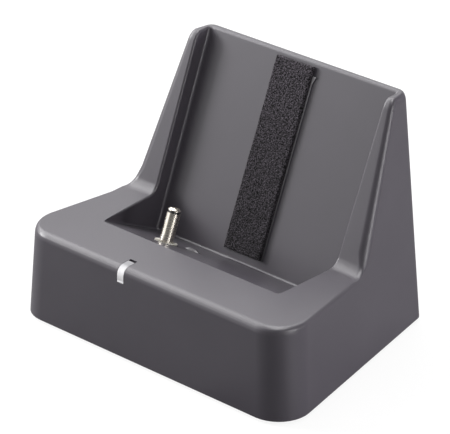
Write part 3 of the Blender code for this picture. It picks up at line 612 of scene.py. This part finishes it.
def fray(k, steps, wander):
    """How far a point of the foam's grid wanders: inwards at its ends, and a little either way between."""
    if k == 0:
        return abs(wander)
    if k == steps:
        return -abs(wander)
    return FOAM_INNER_FRAY * wander


def build_foam(finishes):
    """The cushion strip as a sheet of open foam with a pitted face and slightly frayed edges."""
    left, right = span("cushion_strip", ACROSS)
    low, high = span("cushion_strip", UP)
    back, front = span("cushion_strip", OUT)
    width, length, thickness = right - left, high - low, front - back
    columns, rows = round(width / FOAM_STEP), round(length / FOAM_STEP)
    noise.seed_set(FOAM_FRAY_SEED)
    form = bmesh.new()
    face, rim = {}, {}
    for j, i in product(range(rows + 1), range(columns + 1)):
        a, b = width * i / columns, length * j / rows
        wander = noise.noise_vector(Vector((a, b, 1.0)) * FOAM_FRAY_SCALE) * FOAM_FRAY
        spot = ACROSS * (left + a + fray(i, columns, wander.x)) + UP * (low + b + fray(j, rows, wander.y))
        face[i, j] = form.verts.new(spot + OUT * (back + foam_height(a, b, width, length, thickness)))
        if i in (0, columns) or j in (0, rows):
            rim[i, j] = form.verts.new(spot + OUT * back)
    for j, i in product(range(rows), range(columns)):
        form.faces.new((face[i, j], face[i + 1, j], face[i + 1, j + 1], face[i, j + 1]))
    ring = [(i, 0) for i in range(columns)] + [(columns, j) for j in range(rows)]
    ring += [(i, rows) for i in range(columns, 0, -1)] + [(0, j) for j in range(rows, 0, -1)]
    for here, after in zip(ring, ring[1:] + ring[:1]):
        form.faces.new((face[here], rim[here], rim[after], face[after]))
    form.faces.new([rim[key] for key in ring])
    piece = add_piece("foam_strip", form, finishes["strip_foam"], "cushion_strip")


def build_film(finishes):
    """The adhesive film, whose free corner at the upper right curls away from the backrest."""
    left, right = span("strip_adhesive", ACROSS)
    low, high = span("strip_adhesive", UP)
    back, front = span("strip_adhesive", OUT)
    hidden = span("cushion_strip", ACROSS)[1]
    rings = []
    for j in range(FILM_ROWS + 1):
        up = low + (high - low) * j / FILM_ROWS
        curl = max(0.0, 1.0 - (high - up) / CURL_LENGTH) ** 2
        edge, lift = right + CURL_REACH * curl, CURL_LIFT * curl
        outline = [(left, back), (hidden, back), (edge, back + lift)]
        outline += [(edge, front + lift), (hidden, front), (left, front)]
        rings.append([ACROSS * a + UP * up + OUT * out for a, out in outline])
    form = rings_to_form(rings, closed=False)
    add_piece("adhesive_sheet", form, finishes["adhesive_film"], "strip_adhesive")


def build_pipe(finishes):
    """The light pipe with a fine groove across its face, above the lower end."""
    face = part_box("light_pipe")[0].y
    face_low = min(p.z for p in corners("light_pipe") if p.y < face + GROOVE_DEPTH)
    form = bmesh.new()
    form.from_mesh(nodes["light_pipe"].data)
    bmesh.ops.remove_doubles(form, verts=form.verts, dist=WELD)
    middle = face_low + GROOVE_RISE
    for height in (middle - GROOVE_WIDTH / 2, middle, middle + GROOVE_WIDTH / 2):
        parts = list(form.verts) + list(form.edges) + list(form.faces)
        bmesh.ops.bisect_plane(form, geom=parts, plane_co=(0.0, 0.0, height), plane_no=(0.0, 0.0, 1.0))
    for v in form.verts:
        if abs(v.co.z - middle) < WELD and v.co.y < face + GROOVE_REACH:
            v.co.y += GROOVE_DEPTH
    add_piece("grooved_light_pipe", form, finishes["pipe_plastic"], "light_pipe")


def build_rib(finishes):
    """A cap with a sloping front on the small rib right of the plug."""
    floor = mount("pack_floor")
    rise = Vector(floor["axis"]).normalized()
    base = Vector(floor["pos_m"])
    inward = rise.cross(ACROSS)  # back along the floor
    heights = [(p, (p - base).dot(rise)) for p in corners("cradle_housing")]
    top = [p for p, height in heights if RIB_LOW < height < RIB_HIGH and abs(p.x) < RIB_REACH]
    left, right = min(p.x for p in top) - RIB_OVERHANG, max(p.x for p in top) + RIB_OVERHANG
    centre = sum(top, Vector()) / len(top)
    centre -= rise * (centre - base).dot(rise) + ACROSS * centre.x
    rings = []
    for share, depth, height in RIB_SHAPE:
        place = centre + ACROSS * (left + (right - left) * share)
        rings.append([place + inward * back * depth + rise * up * height for back, up in RIB_SECTION])
    form = rings_to_form(rings, closed=False)
    add_piece("sloped_floor_rib", form, finishes["shell_plastic"])


def collar_sizes():
    """A point on the axis of the plug's collar, and the collar's radii and its heights along the axis."""
    points = corners("plug_collar")
    left, right = span("plug_collar", ACROSS)
    low, high = span("plug_collar", UP)
    origin = ACROSS * ((left + right) / 2) + OUT * (sum(span("plug_collar", OUT)) / 2)
    reach = [(((p - origin) - UP * p.dot(UP)).length, p.dot(UP)) for p in points]
    radii = sorted({round(radius, RADIUS_DIGITS) for radius, height in reach})
    bore, collar, flange = radii[0], radii[-2], radii[-1]
    shoulder = max(height for radius, height in reach if radius > (collar + flange) / 2)
    return origin, (bore, collar, flange), (low, shoulder, high)


def tooth(turn):
    """Depth of the collar's face at a turn, from crest 0 to root 1."""
    phase = (COLLAR_TEETH * turn / (2 * pi)) % 1.0
    return 1.0 - abs(2.0 * phase - 1.0)


def build_collar(finishes):
    """The ring round the plug's foot, with teeth like a lock washer's on its upper face."""
    origin, (bore, collar, flange), (low, shoulder, high) = collar_sizes()
    face = [bore + (collar - bore) * k / COLLAR_RINGS for k in range(COLLAR_RINGS + 1)]
    profile = [(radius, high, 1.0) for radius in face]
    profile += [(collar, shoulder, 0.0), (flange, shoulder, 0.0), (flange, low, 0.0), (bore, low, 0.0)]
    steps = COLLAR_TEETH * COLLAR_TOOTH_STEPS
    rings = []
    for radius, height, toothed in profile:
        ring = []
        for k in range(steps):
            turn = 2 * pi * k / steps
            spot = ACROSS * (radius * cos(turn)) - OUT * (radius * sin(turn))
            ring.append(origin + spot + UP * (height - toothed * COLLAR_TOOTH_DEPTH * tooth(turn)))
        rings.append(ring)
    form = rings_to_form(rings, closed=True)
    add_piece("toothed_collar", form, finishes["collar_nickel"], "plug_collar")


def arc(centre, radius, start, end, steps):
    """Points of an arc, as (radius, height)."""
    turns = [start + (end - start) * k / steps for k in range(steps + 1)]
    return [(centre[0] + radius * cos(t), centre[1] + radius * sin(t)) for t in turns]


def thread(height, turn):
    """How far the thread stands out at a height and a turn, from root 0 to crest 1."""
    phase = (height / THREAD_PITCH - turn / (2 * pi)) % 1.0
    return max(0.0, 1.0 - abs(phase - 0.5) / THREAD_FLANK)


def screw_rings(head_radius, shank_radius, length):
    """Head with a rounded edge, then a shank with a spiral thread, as (radius, turn, height)."""
    core = shank_radius - THREAD_DEPTH
    flat = head_radius - SCREW_EDGE
    head = [(flat, 0.0)]
    head += arc((flat, SCREW_EDGE), SCREW_EDGE, -pi / 2, 0.0, SCREW_EDGE_STEPS)[1:]
    head += [(head_radius, SCREW_HEAD_HEIGHT), (core, SCREW_HEAD_HEIGHT)]
    turns = [2 * pi * k / THREAD_STEPS for k in range(THREAD_STEPS)]
    rings = [[(radius, turn, height) for turn in turns] for radius, height in head]
    shank = length - SCREW_HEAD_HEIGHT
    rows = round(shank / THREAD_PITCH * THREAD_ROWS)
    for j in range(1, rows + 1):
        share = j / rows
        height = SCREW_HEAD_HEIGHT + shank * share
        depth = THREAD_DEPTH * min(1.0, THREAD_RUN_OUT * (1.0 - share), THREAD_RUN_IN * share)
        rings.append([(core + depth * thread(height, turn), turn, height) for turn in turns])
    return rings


def build_screw(node, finishes):
    """A cover screw with a cross recess in its head, which faces down."""
    low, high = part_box(node)
    middle = (low + high) / 2
    points = corners(node)
    shank_top = max(p.z for p in points)
    shank = [p - middle for p in points if p.z > shank_top - WELD]
    shank_radius = max(sqrt(p.x**2 + p.y**2) for p in shank)
    rings = screw_rings((high.x - low.x) / 2, shank_radius, high.z - low.z)
    shift = Vector((middle.x, middle.y, low.z))
    made = [[shift + Vector((r * cos(t), r * sin(t), h)) for r, t, h in ring] for ring in rings]
    form = rings_to_form(made, closed=False)
    piece = add_piece(f"{node}_detailed", form, finishes["screw_steel"], node)
    cut_recess(piece, shift)


def cut_recess(piece, place):
    """Cuts a cross with tapering arms into a screw's head."""
    for turn in (0.0, pi / 2):
        form = bmesh.new()
        bmesh.ops.create_cube(form, size=1.0)
        for v in form.verts:
            taper = RECESS_TAPER if v.co.z > 0 else 1.0
            v.co.x *= RECESS_LENGTH * taper
            v.co.y *= RECESS_WIDTH * taper
            v.co.z *= 2 * RECESS_DEPTH
        form.transform(Matrix.Translation(place) @ Matrix.Rotation(turn + RECESS_TURN, 4, "Z"))
        mesh = bpy.data.meshes.new("recess")
        form.to_mesh(mesh)
        form.free()
        cutter = bpy.data.objects.new("recess", mesh)
        bpy.context.scene.collection.objects.link(cutter)
        modifier = piece.modifiers.new("recess", "BOOLEAN")
        modifier.operation = "DIFFERENCE"
        modifier.solver = "EXACT"
        modifier.object = cutter
        apply_modifiers(piece)
        bpy.data.objects.remove(cutter)


def apply_modifiers(piece):
    graph = bpy.context.evaluated_depsgraph_get()
    made = bpy.data.meshes.new_from_object(piece.evaluated_get(graph))
    made.set_sharp_from_angle(angle=SHARP_ANGLE)
    piece.modifiers.clear()
    piece.data = made


# Camera, light and stage


def aim(thing, azimuth, elevation, distance):
    """Puts the camera or a lamp at a distance from the object, facing it."""
    away = direction(azimuth, elevation)
    thing.location = CAMERA_TARGET + away * distance
    thing.rotation_euler = (-away).to_track_quat("-Z", "Y").to_euler()
    bpy.context.scene.collection.objects.link(thing)


def make_camera():
    data = bpy.data.cameras.new("camera")
    data.sensor_width = SENSOR
    data.lens = FOCAL_PIXELS * SENSOR / IMAGE_WIDTH
    data.shift_x = (IMAGE_WIDTH / 2 - CENTRE_PIXEL[0]) / IMAGE_WIDTH
    data.shift_y = (CENTRE_PIXEL[1] - IMAGE_HEIGHT / 2) / IMAGE_WIDTH
    camera = bpy.data.objects.new("camera", data)
    aim(camera, CAMERA_AZIMUTH, CAMERA_ELEVATION, CAMERA_DISTANCE)
    bpy.context.scene.camera = camera


def make_lights():
    for name, azimuth, elevation, distance, width, height, power in LAMPS:
        data = bpy.data.lights.new(name, "AREA")
        data.shape = "RECTANGLE"
        data.size = width
        data.size_y = height
        data.energy = power
        light = bpy.data.objects.new(name, data)
        light.visible_diffuse = name not in LAMPS_IN_GLOSS_ONLY
        light.visible_glossy = name not in LAMPS_NOT_IN_GLOSS
        aim(light, radians(azimuth), radians(elevation), distance)


def near_side(tree, place):
    """Soft light from the half of the room behind the camera."""
    facing = tree.add("ShaderNodeVectorMath", operation="DOT_PRODUCT")
    tree.feed(facing.inputs[0], place)
    tree.feed(facing.inputs[1], direction(CAMERA_AZIMUTH, 0.0))
    return tree.ramp(facing.outputs["Value"], -NEAR_SIDE_FADE, NEAR_SIDE_FADE, 0.0, NEAR_SIDE_LEVEL)


def make_world():
    """White behind the object, soft light from the camera's side, and gloss that is bright at the back."""
    world = bpy.data.worlds.new("studio")
    bpy.context.scene.world = world
    world.cycles.sampling_method = "NONE"
    world.use_nodes = True
    tree = Tree(world.node_tree)
    place = tree.add("ShaderNodeTexCoord").outputs["Generated"]
    camera, gloss = tree.rays()
    room = tree.mix(gloss, near_side(tree, place), tree.by_azimuth(place, ROOM_GLOSS))
    background = world.node_tree.nodes["Background"]
    tree.feed(background.inputs["Color"], grey(1.0))
    tree.feed(background.inputs["Strength"], tree.math("MAXIMUM", camera, room))


def floor_paper():
    """Pale paper that the camera sees as white outside the object's shadow."""
    made = Shader("floor_paper")
    camera, gloss = made.rays()
    lit = made.blend(gloss, grey(FLOOR_LEVEL), made.by_azimuth(made.place, FLOOR_GLOSS))
    glow = made.mix(camera, made.math("MULTIPLY", gloss, FLOOR_GLOSS_GLOW), FLOOR_GLOW)
    made.set(base_color=made.blend(camera, lit, grey(FLOOR_SEEN_LEVEL)), roughness=FLOOR_ROUGHNESS)
    made.set(emission_color=grey(1.0), emission_strength=glow)
    return made.material


def make_floor():
    form = bmesh.new()
    bmesh.ops.create_grid(form, x_segments=1, y_segments=1, size=FLOOR_HALF)
    mesh = bpy.data.meshes.new("floor")
    form.to_mesh(mesh)
    form.free()
    mesh.materials.append(floor_paper())
    floor = bpy.data.objects.new("floor", mesh)
    floor.location.z = -FLOOR_DROP
    bpy.context.scene.collection.objects.link(floor)


def main():
    bpy.context.scene.view_settings.view_transform = "Standard"
    finishes = make_finishes()
    group = smoothing_group()
    slots = {row["node"]: row["material_slot"] for row in frame["record"]["subparts"]}
    for name, piece in nodes.items():
        piece.data.materials[0] = finishes[slots[name]]
        smooth(piece, group)
    build_foam(finishes)
    build_film(finishes)
    build_pipe(finishes)
    build_rib(finishes)
    build_collar(finishes)
    for name in sorted(nodes):
        if name.startswith("cover_screw_"):
            build_screw(name, finishes)
    make_camera()
    make_lights()
    make_world()
    make_floor()


main()
